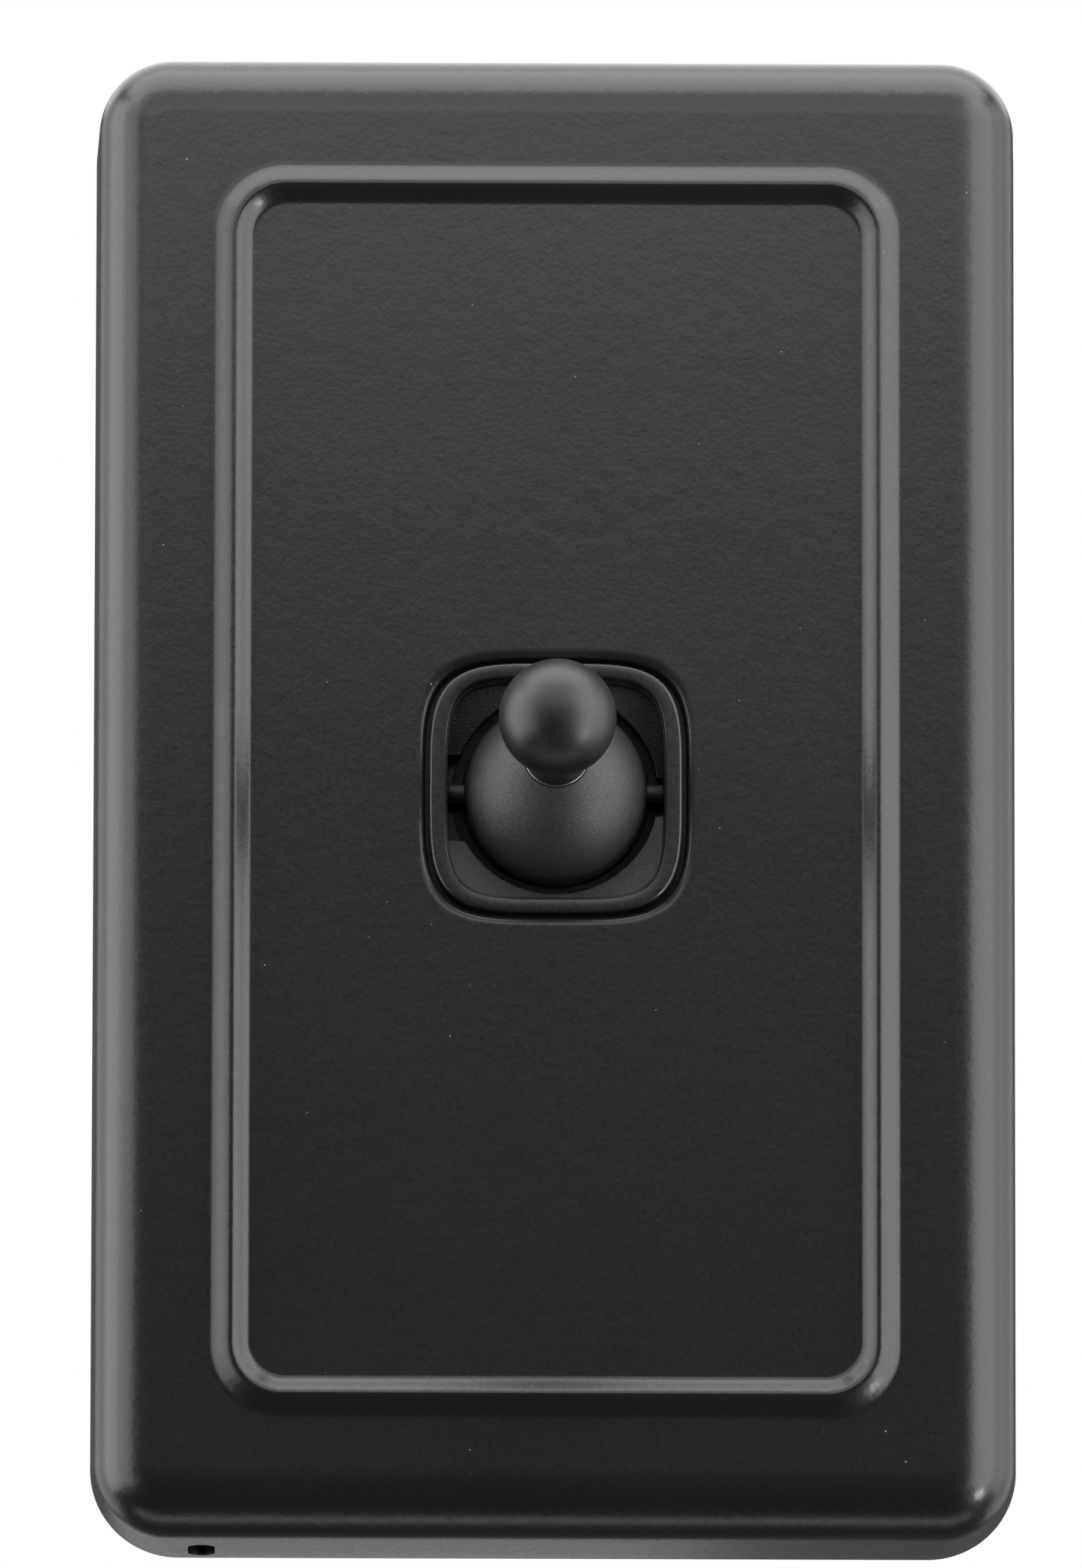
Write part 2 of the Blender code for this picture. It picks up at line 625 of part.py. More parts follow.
def mounting_frame():
    """Grid on the wall: fixing slots above and below, collar for the mechanism, snap ears for the plate."""
    frame = mesh_object("mounting_frame", slab(FRAME_HALF_X, FRAME_HALF_Z, FRAME_CORNER_R, (-FRAME_T, 0.0)))
    collar_x, collar_z = FRAME_COLLAR
    join(frame, slab(collar_x, collar_z, FRAME_COLLAR_CORNER_R, (BODY_FRONT, -FRAME_T + OVERLAP)))
    opening_x, opening_z = BODY_HALF_X + FRAME_OPENING_GAP, BODY_HALF_Z + FRAME_OPENING_GAP
    cut(frame, slab(opening_x, opening_z, FRAME_OPENING_CORNER_R, (BODY_FRONT - 1, 1.0)))
    for side in (-1, 1):
        slot = slab(FIXING_SLOT[0] / 2, FIXING_SLOT[1] / 2, FIXING_SLOT[1] / 2 - 0.01, (-FRAME_T - 1, 1.0))
        slot.transform(Matrix.Translation((0, 0, side * FIXING_Z)))
        cut(frame, slot)
        cut(frame, rod(MECHANISM_HOLE_R, (BODY_FRONT - 1, 1.0), at=(0, 0, side * MECHANISM_SCREW_Z)))
        for level in (-LUG_Z, LUG_Z):
            ends = (level - LUG_LENGTH / 2, level + LUG_LENGTH / 2)
            join(frame, loft([[Vector((side * x, y, z)) for x, y in SNAP_EAR] for z in ends]))
    return frame


# ------------------------------------------------------------------ screws

def screw(name, head, shank, axis, at, along, drive):
    """Pan-head screw: head (radius, height), shank (radius, length), under-head point at."""
    head_r, head_h = head
    shank_r, length = shank
    profile = [(-along * head_h, head_r * 0.55), (-along * head_h * 0.8, head_r * 0.85),
               (-along * head_h * 0.45, head_r), (0.0, head_r), (0.0, shank_r),
               (along * (length - shank_r), shank_r), (along * length, shank_r * 0.35)]
    obj = mesh_object(name, turned(profile, axis, at, segments=14))
    depth = sorted((-along * head_h * 1.3, -along * head_h * 0.45))
    half_width, half_length = head_r * 0.13, head_r * 0.62
    if drive == "slot":
        half_length = head_r * 1.2
    blades = [((-half_width, half_width), (-half_length, half_length))]
    if drive == "cross":
        blades.append(((-half_length, half_length), (-half_width, half_width)))
    for first, second in blades:
        spans = {"X": (depth, first, second), "Y": (first, depth, second), "Z": (first, second, depth)}[axis]
        blade = box(*spans)
        blade.transform(Matrix.Translation(at))
        cut(obj, blade)
    return obj


def all_screws():
    """Every screw: two to the wall, two to the frame, two through the body and four clamps."""
    screws = []
    for word, side in (("top", 1), ("bottom", -1)):
        screws.append(screw("mounting_screw_" + word, (3.2, 2.1), (1.7, 30.0), "Y",
                            (0, -FRAME_T - GAP, side * FIXING_Z), 1, "cross"))
        screws.append(screw("mechanism_screw_" + word, (2.4, 1.5), (1.25, 7.0), "Y",
                            (0, SHOULDER_FRONT - GAP, side * MECHANISM_SCREW_Z), 1, "cross"))
    for word, side in (("upper", 1), ("lower", -1)):
        screws.append(screw("body_screw_" + word, (1.7, 1.1), (1.0, 12.5), "Y",
                            (side * BODY_SCREW[0], SHOULDER_FRONT - GAP, side * BODY_SCREW[1]), 1, "cross"))
    for word, (x, z), (out_x, out_z) in block_centres():
        reach = BLOCK_HALF + GAP + (x if out_x > 0 else -x if out_x else abs(z))
        at = (out_x * reach, BLOCK_MID_Y, 0) if out_x else (0, BLOCK_MID_Y, out_z * reach)
        screws.append(screw("terminal_screw_" + word, (2.0, 1.3), (1.3, 2.9), "X" if out_x else "Z",
                            at, -(out_x + out_z), "slot"))
    return screws


# ---------------------------------------------------------------- assembly

def build():
    for obj in list(bpy.data.objects):
        bpy.data.objects.remove(obj)

    powder_coat = make_material("black_powder_coat", (0.035, 0.036, 0.038), 0.45, 0.0)
    gloss_black = make_material("collar_plastic", (0.03, 0.03, 0.031), 0.3, 0.0)
    grained_black = make_material("moulded_plastic", (0.028, 0.028, 0.029), 0.6, 0.0)
    sanded_black = make_material("toggle_black", (0.045, 0.045, 0.046), 0.5, 0.1)
    satin_black = make_material("lever_black", (0.045, 0.045, 0.046), 0.38, 0.1)
    nylon = make_material("frame_nylon", (0.06, 0.06, 0.062), 0.65, 0.0)
    zinc = make_material("zinc_steel", (0.55, 0.56, 0.58), 0.35, 1.0)
    bright_steel = make_material("bright_steel", (0.6, 0.6, 0.61), 0.25, 1.0)
    brass = make_material("brass", (0.72, 0.52, 0.24), 0.3, 1.0)
    silver = make_material("contact_silver", (0.82, 0.81, 0.79), 0.25, 1.0)
    white_nylon = make_material("plunger_nylon", (0.7, 0.7, 0.66), 0.5, 0.0)

    finish(cover_plate(), powder_coat)
    finish(mounting_frame(), nylon)
    finish(bezel_collar(), gloss_black)
    finish(mechanism_cover(), grained_black)
    finish(mechanism_housing(), grained_black)
    for piece in all_screws():
        finish(piece, brass if piece.name.startswith("terminal") else zinc)

    toggle_axis = joint_empty("toggle_axis", PIVOT_Y, -THROW / 2)
    toggle = [finish(toggle_dome(), sanded_black), finish(toggle_lever(), satin_black),
              finish(pivot_pin("pivot_pin_left", -1), sanded_black),
              finish(pivot_pin("pivot_pin_right", 1), sanded_black),
              finish(plunger(), white_nylon), finish(plunger_spring(), bright_steel)]
    for piece in toggle:
        piece.parent = toggle_axis

    rocker_axis = joint_empty("rocker_axis", ROCK_AXIS_Y, ROCK_ANGLE)
    rocker = [finish(rocker_contact(), brass)]
    face_y = BLADE_Y + BLADE_T + GAP + CONTACT_HEAD[1] - ROCK_AXIS_Y
    back_y = BLADE_Y - GAP - CONTACT_UPSET[1] - ROCK_AXIS_Y
    tail_y = STRIP_Y + STRIP_T + GAP + CONTACT_UPSET[1]
    for word, side in (("upper", 1), ("lower", -1)):
        moving = contact_rivet("moving_contact_" + word, face_y, back_y, side * CONTACT_Z, -1)
        rocker.append(finish(moving, silver))
        finish(contact_rivet("fixed_contact_" + word, FIXED_CONTACT_Y, tail_y, side * CONTACT_Z, 1), silver)
    for piece in rocker:
        piece.parent = rocker_axis

    for word, centre, outward in block_centres():
        name = "terminal_" + word
        if word == "common":
            finish(common_terminal(name, centre, outward), brass)
        elif word == "loop":
            finish(terminal_block(name, centre, outward), brass)
        else:
            finish(throw_terminal(name, centre, outward), brass)
    bpy.context.view_layer.update()


build()
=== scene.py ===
"""Looks of the toggle wall switch: fine surfaces, materials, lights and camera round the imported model."""

import json
import math

import bmesh
import bpy
from mathutils import Matrix, Vector

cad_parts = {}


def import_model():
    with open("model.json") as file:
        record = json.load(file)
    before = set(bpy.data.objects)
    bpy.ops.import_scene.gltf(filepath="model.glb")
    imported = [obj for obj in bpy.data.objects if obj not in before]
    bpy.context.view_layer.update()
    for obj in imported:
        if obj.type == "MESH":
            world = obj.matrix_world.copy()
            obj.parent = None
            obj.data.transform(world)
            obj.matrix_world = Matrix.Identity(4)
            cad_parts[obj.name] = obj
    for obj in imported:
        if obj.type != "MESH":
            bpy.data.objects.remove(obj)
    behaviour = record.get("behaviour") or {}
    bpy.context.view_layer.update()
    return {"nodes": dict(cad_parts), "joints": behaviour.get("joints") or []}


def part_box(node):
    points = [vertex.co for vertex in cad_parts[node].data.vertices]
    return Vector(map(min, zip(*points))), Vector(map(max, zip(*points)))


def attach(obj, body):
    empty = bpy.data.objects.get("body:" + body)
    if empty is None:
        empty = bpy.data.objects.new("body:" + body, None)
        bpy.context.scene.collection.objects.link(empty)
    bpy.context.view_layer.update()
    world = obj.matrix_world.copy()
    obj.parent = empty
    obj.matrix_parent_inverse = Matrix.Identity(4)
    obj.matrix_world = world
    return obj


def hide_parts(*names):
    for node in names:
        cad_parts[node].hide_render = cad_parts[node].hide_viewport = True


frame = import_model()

MM = 0.001
JOINTS = {joint["name"]: joint for joint in frame["joints"]}


def box_mm(node):
    """Lowest and highest corner of a CAD node, in millimetres."""
    low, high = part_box(node)
    return Vector(low) / MM, Vector(high) / MM


# --------------------------------------- sizes from the frame, in millimetres

PLATE_LOW, PLATE_HIGH = box_mm("cover_plate")
COLLAR_LOW, COLLAR_HIGH = box_mm("bezel_collar")
FLOOR_Y = box_mm("mechanism_cover")[0].y
PLATE_HALF_X = PLATE_HIGH.x
PLATE_HALF_Z = PLATE_HIGH.z
BEAD_HEIGHT = 0.9
PLATE_FRONT = PLATE_LOW.y + BEAD_HEIGHT
PIVOT_Y = JOINTS["toggle_hinge"]["pos_m"][1] / MM
HALF_THROW = math.radians(JOINTS["toggle_hinge"]["range_deg"][1]) / 2
ROCK_AXIS_Y = JOINTS["contact_hinge"]["pos_m"][1] / MM
ROCK_ANGLE = -math.radians(JOINTS["contact_hinge"]["range_deg"][0]) / 2

TOGGLE_TURN = Matrix.Translation((0, PIVOT_Y, 0)) @ Matrix.Rotation(-HALF_THROW, 4, "X")
ROCKER_TURN = Matrix.Translation((0, ROCK_AXIS_Y, 0)) @ Matrix.Rotation(ROCK_ANGLE, 4, "X")

# ------------------------------------------------------------------ outlines

CORNER_STEPS = 22
SIDE_STEPS = 9
QUARTER_STEPS = 2 * SIDE_STEPS + CORNER_STEPS
OUTER_POWER = 4.1
INNER_POWER = 4.6


def rounded_ring(half_x, half_z, radius, y):
    """Rounded rectangle facing Y, with the same count of points whatever its size."""
    centre_x, centre_z = half_x - radius, half_z - radius
    quarter = [(half_x, centre_z * step / SIDE_STEPS) for step in range(SIDE_STEPS)]
    for step in range(CORNER_STEPS + 1):
        angle = math.pi / 2 * step / CORNER_STEPS
        quarter.append((centre_x + radius * math.cos(angle), centre_z + radius * math.sin(angle)))
    quarter += [(centre_x * step / SIDE_STEPS, half_z) for step in range(SIDE_STEPS - 1, 0, -1)]
    mirrored = [(0.0, half_z)] + quarter[:0:-1]
    points = []
    for turn in range(4):
        flip_x = -1 if turn in (1, 2) else 1
        flip_z = -1 if turn in (2, 3) else 1
        points += [Vector((flip_x * x, y, flip_z * z)) for x, z in (mirrored if turn % 2 else quarter)]
    return points


def squircle_ring(half, y, power=OUTER_POWER):
    """Square or oblong with bowed sides and soft corners, from its half widths along X and Z."""
    points = []
    count = 4 * QUARTER_STEPS
    for step in range(count):
        angle = 2 * math.pi * step / count
        cosine, sine = math.cos(angle), math.sin(angle)
        reach = (abs(cosine) ** power + abs(sine) ** power) ** (-1 / power)
        points.append(Vector((half[0] * reach * cosine, y, half[1] * reach * sine)))
    return points


def circle(distance, radii):
    """Points round the Y axis at a distance along it, one for every radius given."""
    points = []
    for step, radius in enumerate(radii):
        angle = 2 * math.pi * step / len(radii)
        points.append(Vector((radius * math.cos(angle), distance, radius * math.sin(angle))))
    return points


def mix_rings(first, second, share):
    return [a.lerp(b, share) for a, b in zip(first, second)]


def arc(centre, radius, start, end, steps):
    """Points of an arc in the (distance, radius) plane, angles in degrees from the distance axis."""
    points = []
    for step in range(steps + 1):
        angle = math.radians(start + (end - start) * step / steps)
        points.append((centre[0] + radius * math.cos(angle), centre[1] + radius * math.sin(angle)))
    return points


# -------------------------------------------------------------------- solids


def bridge(bm, first, second):
    count = len(first)
    for index in range(count):
        following = (index + 1) % count
        bm.faces.new((first[index], first[following], second[following], second[index]))


def loft(rings, closed=False):
    """Skin over a row of rings: closed into a hoop, or with both ends filled."""
    bm = bmesh.new()
    loops = [[bm.verts.new(point) for point in ring] for ring in rings]
    for first, second in zip(loops, loops[1:]):
        bridge(bm, first, second)
    if closed:
        bridge(bm, loops[-1], loops[0])
    else:
        bm.faces.new(loops[0])
        bm.faces.new(loops[-1])
    return bm


def hoop(profile, segments):
    """Turned hollow solid about Y: the profile's end joins its start."""
    return loft([circle(distance, [radius] * segments) for distance, radius in profile], closed=True)


def turned(profile, segments):
    """Turned solid about Y from (distance along Y, radius) pairs; a radius of 0 makes a pole."""
    bm = bmesh.new()
    loops = []
    for distance, radius in profile:
        points = circle(distance, [radius] * (segments if radius > 0 else 1))
        loops.append([bm.verts.new(point) for point in points])
    for first, second in zip(loops, loops[1:]):
        if len(first) > 1 and len(second) > 1:
            bridge(bm, first, second)
            continue
        pole, ring = (first[0], second) if len(first) == 1 else (second[0], first)
        for index in range(segments):
            bm.faces.new((pole, ring[index], ring[(index + 1) % segments]))
    for loop in (loops[0], loops[-1]):
        if len(loop) > 1:
            bm.faces.new(loop)
    return bm


def block(*spans):
    """Box from its (low, high) spans along X, Y and Z."""
    bm = bmesh.new()
    bmesh.ops.create_cube(bm, size=1.0)
    for vert in bm.verts:
        for axis, (low, high) in enumerate(spans):
            vert.co[axis] = low + (vert.co[axis] + 0.5) * (high - low)
    return bm


# -------------------------------------------------------------------- pieces

CREASE = 35.0
WELD = 1e-6
FLAT = math.radians(1.0)
SHARP = math.radians(40.0)


def mesh_object(name, bm):
    """Object in metres from a millimetre bmesh, its faces turned outward."""
    bmesh.ops.recalc_face_normals(bm, faces=bm.faces)
    bm.transform(Matrix.Scale(MM, 4))
    mesh = bpy.data.meshes.new(name)
    bm.to_mesh(mesh)
    bm.free()
    obj = bpy.data.objects.new(name, mesh)
    bpy.context.collection.objects.link(obj)
    return obj


def smooth(obj, crease):
    """Smooth shading that breaks at edges sharper than the crease angle, in degrees."""
    obj.data.shade_smooth()
    obj.data.set_sharp_from_angle(angle=math.radians(crease))


def piece(name, bm, body, replaced=(), turn=None, crease=CREASE):
    """Visible piece that rides on a body and stands for CAD nodes."""
    if turn is not None:
        bm.transform(turn)
    obj = mesh_object(name, bm)
    smooth(obj, crease)
    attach(obj, body)
    if replaced:
        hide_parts(*replaced)
    return obj


def carve(obj, tools, crease=CREASE):
    """Cut millimetre solids, given in the object's own frame, out of a piece."""
    for bm in tools:
        tool = mesh_object("tool", bm)
        tool.matrix_world = obj.matrix_world
        cut = obj.modifiers.new("cut", "BOOLEAN")
        cut.operation = "DIFFERENCE"
        cut.object = tool
        graph = bpy.context.evaluated_depsgraph_get()
        result = bpy.data.meshes.new_from_object(obj.evaluated_get(graph))
        obj.modifiers.clear()
        obj.data = result
        bpy.data.objects.remove(tool)
    smooth(obj, crease)
    return obj


def softened(node, body, width):
    """Copy of a CAD node with its sharp edges rounded."""
    bm = bmesh.new()
    bm.from_mesh(frame["nodes"][node].data)
    bmesh.ops.remove_doubles(bm, verts=bm.verts, dist=WELD)
    bmesh.ops.dissolve_limit(bm, angle_limit=FLAT, verts=bm.verts, edges=bm.edges)
    bm.transform(Matrix.Scale(1 / MM, 4))
    obj = piece(node + "_edged", bm, body, (node,))
    bevel = obj.modifiers.new("edges", "BEVEL")
    bevel.width = width * MM
    bevel.segments = 2
    bevel.limit_method = "ANGLE"
    bevel.angle_limit = SHARP
    return obj


# --------------------------------------------------------------- cover plate

PLATE_CORNER_R = 5.7
CORNER_GROWTH = 1.2
SMALLEST_CORNER_R = 0.6
PLATE_WALL = 1.2
EDGE_R = 4.8
FILLET_Y = PLATE_FRONT + EDGE_R
WALL_DRAFT = math.radians(2.0)
WALL_INSET = math.tan(WALL_DRAFT) * -FILLET_Y
WALL_SHARES = (0.35, 0.7)
EDGE_STEPS = 24
INNER_EDGE_STEPS = 8
PLATE_CREASE = 50.0

# (inset, y) round the edge that lies on the wall
BACK_EDGE = ((0.12, 0.0), (0.03, -0.1), (0.01, -0.3))
BEAD_MARGIN = 9.2
BEAD_SLOPES = (1.75, 1.45)
BEAD_STEPS = 20
BEAD_CORNER_R = 5.5
SLOPE_EVENNESS = 0.6
FLAT_START = 0.12
PANEL_SHARES = (0.25, 0.5, 0.75, 0.92, 0.995)

OPENING_HALF = 10.15
LIP_R = 0.7
LIP_STEPS = 8

SLOT_CENTRE = (-27.3, -3.6)
SLOT_HALF = (1.05, 2.2)
SLOT_CUT = 1.8


def plate_ring(inset, y):
    """Outline of the plate, drawn in by an inset; its corners are rounder towards the wall."""
    corner_r = PLATE_CORNER_R + CORNER_GROWTH * (1 - y / PLATE_FRONT) - inset
    return rounded_ring(PLATE_HALF_X - inset, PLATE_HALF_Z - inset, max(corner_r, SMALLEST_CORNER_R), y)


def edge_rings(inset, radius, steps):
    """Rings round the front edge, from the drafted wall over to the flat front."""
    rings = []
    for step in range(steps + 1):
        angle = (math.pi / 2 - WALL_DRAFT) * step / steps + WALL_DRAFT
        rings.append(plate_ring(inset + radius * (math.cos(WALL_DRAFT) - math.cos(angle)),
                                FILLET_Y - radius * math.sin(angle)))
    return rings


def bead_profile():
    """(offset, height, corner radius) across the bead: two even slopes, a rounded crest and soft feet."""
    slopes = [math.sin(math.pi * (step + 0.5) / BEAD_STEPS) ** SLOPE_EVENNESS for step in range(BEAD_STEPS)]
    climb = [BEAD_HEIGHT * sum(slopes[:step]) / sum(slopes) for step in range(BEAD_STEPS + 1)]
    outer, inner = BEAD_SLOPES
    rows = [(outer * step / BEAD_STEPS, climb[step]) for step in range(BEAD_STEPS + 1)]
    rows += [(outer + inner * step / BEAD_STEPS, climb[BEAD_STEPS - step])
             for step in range(1, BEAD_STEPS + 1)]
    shrink = BEAD_CORNER_R / (2 * (outer + inner))
    return [(offset, height, BEAD_CORNER_R - offset * shrink) for offset, height in rows]


def bead_rings():
    """Rings over the bead, with one more on each side that keeps the flats flat."""
    rows = bead_profile()
    rows = [(-FLAT_START, 0.0, BEAD_CORNER_R)] + rows + [(rows[-1][0] + FLAT_START, 0.0, rows[-1][2])]
    rings = []
    for offset, height, radius in rows:
        inset = BEAD_MARGIN + offset
        rings.append(rounded_ring(PLATE_HALF_X - inset, PLATE_HALF_Z - inset, radius, PLATE_FRONT - height))
    return rings


def lip_rings():
    """Rings round the rolled lip of the opening and back to the plate's inner face."""
    rings = []
    for step in range(LIP_STEPS + 1):
        angle = math.pi / 2 * step / LIP_STEPS
        half = OPENING_HALF + LIP_R * (1 - math.sin(angle))
        rings.append(squircle_ring((half, half), PLATE_FRONT + LIP_R * (1 - math.cos(angle))))
    rings.append(squircle_ring((OPENING_HALF, OPENING_HALF), PLATE_FRONT + PLATE_WALL))
    return rings


def release_slot():
    """Slot-shaped solid that cuts through the lower side wall."""
    slot = loft([rounded_ring(*SLOT_HALF, SLOT_HALF[0] - 0.02, y) for y in (-SLOT_CUT, SLOT_CUT)])
    upright = Matrix.Rotation(math.radians(90), 4, "X")
    slot.transform(Matrix.Translation((*SLOT_CENTRE, -PLATE_HALF_Z)) @ upright)
    return slot


def plate_shell():
    rings = [plate_ring(inset, y) for inset, y in BACK_EDGE]
    rings += [plate_ring(WALL_INSET * share, FILLET_Y * share) for share in WALL_SHARES]
    rings += edge_rings(WALL_INSET, EDGE_R, EDGE_STEPS)
    rings.append(plate_ring(WALL_INSET + EDGE_R + FLAT_START, PLATE_FRONT))
    rings += bead_rings()
    panel, lip = rings[-1], lip_rings()
    rings += [mix_rings(panel, lip[0], share) for share in PANEL_SHARES]
    rings += lip
    rings += edge_rings(WALL_INSET + PLATE_WALL, EDGE_R - PLATE_WALL, INNER_EDGE_STEPS)[::-1]
    rings.append(plate_ring(PLATE_WALL, 0.0))
    shell = piece("plate_shell", loft(rings, closed=True), "base", ("cover_plate",),
                  crease=PLATE_CREASE)
    return carve(shell, [release_slot()], PLATE_CREASE)


# -------------------------------------------------------------------- collar

COLLAR_HALF = 9.85
COLLAR_SKIRT = 9.2
COLLAR_FLANGE = COLLAR_HIGH.x
COLLAR_FRONT = COLLAR_LOW.y
COLLAR_BACK = COLLAR_HIGH.y
FLANGE_FRONT = PLATE_FRONT + PLATE_WALL + 0.3
FLANGE_BACK = COLLAR_BACK - 2.5
COLLAR_MOUTH = (8.5, 8.75)
COLLAR_THROAT = (8.4, 8.35)
SKIRT_FRONT = FLOOR_Y - 0.3
COLLAR_CREASE = 30.0

# (distance in from the side, depth) round the outer edge of the face
COLLAR_EDGE = ((0.3, 0.0), (0.23, 0.01), (0.16, 0.04), (0.1, 0.09), (0.05, 0.17), (0.02, 0.27), (0.0, 0.4))
# (share of the way from mouth to throat, growth, y) from the floor out to the face, over a fine ledge
COLLAR_INSIDE = (
    (1.0, -0.05, SKIRT_FRONT), (0.7, -0.05, SKIRT_FRONT - 0.7), (0.5, -0.05, COLLAR_FRONT + 1.06),
    (0.5, -0.02, COLLAR_FRONT + 1.0), (0.5, 0.04, COLLAR_FRONT + 0.98), (0.2, 0.0, COLLAR_FRONT + 0.5),
    (0.0, 0.0, COLLAR_FRONT + 0.14), (0.0, 0.03, COLLAR_FRONT + 0.07), (0.0, 0.08, COLLAR_FRONT + 0.02),
    (0.0, 0.15, COLLAR_FRONT))


def collar_hoop():
    """Square hoop: narrow flat face, rounded outer edge, drafted mouth with a fine ledge inside."""
    outside = [(COLLAR_HALF - inset, COLLAR_FRONT + depth) for inset, depth in COLLAR_EDGE]
    outside += [(COLLAR_HALF, FLANGE_FRONT), (COLLAR_FLANGE, FLANGE_FRONT), (COLLAR_FLANGE, FLANGE_BACK),
                (COLLAR_HALF, FLANGE_BACK), (COLLAR_HALF, COLLAR_BACK), (COLLAR_SKIRT, COLLAR_BACK),
                (COLLAR_SKIRT, SKIRT_FRONT)]
    rings = [squircle_ring((half, half), y) for half, y in outside]
    for share, growth, y in COLLAR_INSIDE:
        half = [mouth + (throat - mouth) * share + growth
                for mouth, throat in zip(COLLAR_MOUTH, COLLAR_THROAT)]
        rings.append(squircle_ring(half, y, INNER_POWER))
    return piece("collar_hoop", loft(rings, closed=True), "base", ("bezel_collar",),
                 crease=COLLAR_CREASE)


# -------------------------------------------------------------------- toggle

DOME_R = 7.2
DOME_BACK = 4.2
DOME_STEPS = 48
BORE_R = 2.1
SEAT_Y = -6.2
NECK_GAP = 0.12

NECK_R = 2.45
NECK_FLARE = (9.7, 10.9)
FLARE_STEPS = 12
KNOB_R = 4.55
KNOB_CENTRE = 14.2
KNOB_STEPS = 48
SPIGOT = (3.4, 6.5)
SPIGOT_R = 1.8
CHAMFER = 0.1

PIN_R = 0.8
PIN_SPAN = (3.6, 8.4)
PIN_GAP = 0.3

RIM_Y = -6.95
RIM_DEPTH = 0.6

# painted shade: sizes of the near-black ring that darkens the gap round the dome
SHADE_RING_DEPTH = 1.5
SHADE_RING_GAP = 0.06
SHADE_RING_WIDTH = 0.95
SHADE_RING_THICKNESS = 0.4

DISH_START = 8.3
DISH_SLOPE = 0.42
DISH_DEPTH = 0.2


def pin_turn(side):
    """Puts a solid turned about Y onto the pins' line, to the left (-1) or right (1) of the dome."""
    return TOGGLE_TURN @ Matrix.Rotation(math.radians(-90 * side), 4, "Z")


def toggle_dome():
    """Ball skin with a bore, open for the neck in front and cut flat behind, with a hole for each pin."""
    back = 90 - math.degrees(math.asin(DOME_BACK / DOME_R))
    front = 180 - math.degrees(math.asin((NECK_R + NECK_GAP) / DOME_R))
    outer = arc((0.0, 0.0), DOME_R, back, front, DOME_STEPS)
    back_r = outer[0][1]
    rim_y, rim_r = outer[-1]
    profile = [(DOME_BACK - CHAMFER, BORE_R), (DOME_BACK, BORE_R + CHAMFER), (DOME_BACK, back_r - 0.25),
               (DOME_BACK - 0.08, back_r - 0.06)] + outer[1:]
    profile += [(rim_y + 0.12, rim_r - 0.05), (SEAT_Y, NECK_R + 0.07), (SEAT_Y, BORE_R)]
    dome = piece("dome_skin", hoop(profile, 112), "toggle", ("toggle_dome",), TOGGLE_TURN)
    holes = []
    for side in (-1, 1):
        hole = turned([(PIN_SPAN[0] - PIN_GAP, PIN_R + PIN_GAP), (PIN_SPAN[1] + 0.1, PIN_R + PIN_GAP)], 48)
        hole.transform(pin_turn(side))
        holes.append(hole)
    return carve(dome, holes)


def dome_shade_ring():
    """Thin near-black ring behind the dome that paints shade into the gap round it, a dark stand-in for the
    shadow there.
    """
    front = FLOOR_Y + SHADE_RING_DEPTH
    back = front + SHADE_RING_THICKNESS
    inner = DOME_R + SHADE_RING_GAP
    profile = [(front, inner + 0.06), (front + 0.05, inner), (back - 0.05, inner), (back, inner + 0.06),
               (back, DOME_R + SHADE_RING_WIDTH), (front, DOME_R + SHADE_RING_WIDTH)]
    return piece("dome_shade_ring", hoop(profile, 96), "base")


def dish_floor(cover):
    """Lifts the floor's rim so that it slopes down to the dome's hole."""
    for vertex in cover.data.vertices:
        reach = math.hypot(vertex.co.x, vertex.co.z) / MM - DISH_START
        if reach > 0 and vertex.co.y < (FLOOR_Y + DISH_DEPTH) * MM:
            vertex.co.y -= DISH_SLOPE * reach * MM
    cover.data.update()


def lever_profile():
    """(length from the pivot, radius) along the lever: spigot, neck, flare and ball."""
    spigot_start, spigot_end = SPIGOT
    rows = [(spigot_start, 0.0), (spigot_start, SPIGOT_R - CHAMFER), (spigot_start + CHAMFER, SPIGOT_R),
            (spigot_end, SPIGOT_R), (spigot_end, NECK_R - CHAMFER), (spigot_end + CHAMFER, NECK_R)]
    start, end = NECK_FLARE
    ball_angle = math.acos((KNOB_CENTRE - end) / KNOB_R)
    ball_start_r = KNOB_R * math.sin(ball_angle)
    for step in range(FLARE_STEPS):
        share = step / FLARE_STEPS
        rows.append((start + (end - start) * share, NECK_R + (ball_start_r - NECK_R) * share * share))
    for step in range(KNOB_STEPS):
        angle = ball_angle + (math.pi - ball_angle) * step / KNOB_STEPS
        rows.append((KNOB_CENTRE - KNOB_R * math.cos(angle), KNOB_R * math.sin(angle)))
    return rows + [(KNOB_CENTRE + KNOB_R, 0.0)]


def toggle_lever():
    profile = [(-length, radius) for length, radius in lever_profile()]
    return piece("lever_turning", turned(profile, 96), "toggle", ("toggle_lever",),
                 TOGGLE_TURN)


def neck_rim():
    """Thin bright ring where the neck's coating has worn against the dome."""
    foot = RIM_Y + RIM_DEPTH
    profile = [(foot, NECK_R + 0.005), (RIM_Y - 0.01, NECK_R + 0.005), (RIM_Y - 0.02, NECK_R + 0.02),
               (RIM_Y, NECK_R + 0.04), (foot, NECK_R + 0.08)]
    return piece("neck_rim", hoop(profile, 96), "toggle", turn=TOGGLE_TURN)


def pivot_pins():
    start, end = PIN_SPAN
    profile = [(start, 0.0), (start, PIN_R - CHAMFER), (start + CHAMFER, PIN_R), (end - 0.2, PIN_R),
               (end - 0.07, PIN_R - 0.05), (end, PIN_R - 0.18), (end, 0.0)]
    return [piece("pin_" + word, turned(profile, 48), "toggle", ("pivot_pin_" + word,),
                  pin_turn(side)) for word, side in (("left", -1), ("right", 1))]


# ------------------------------------------------------------------ hardware

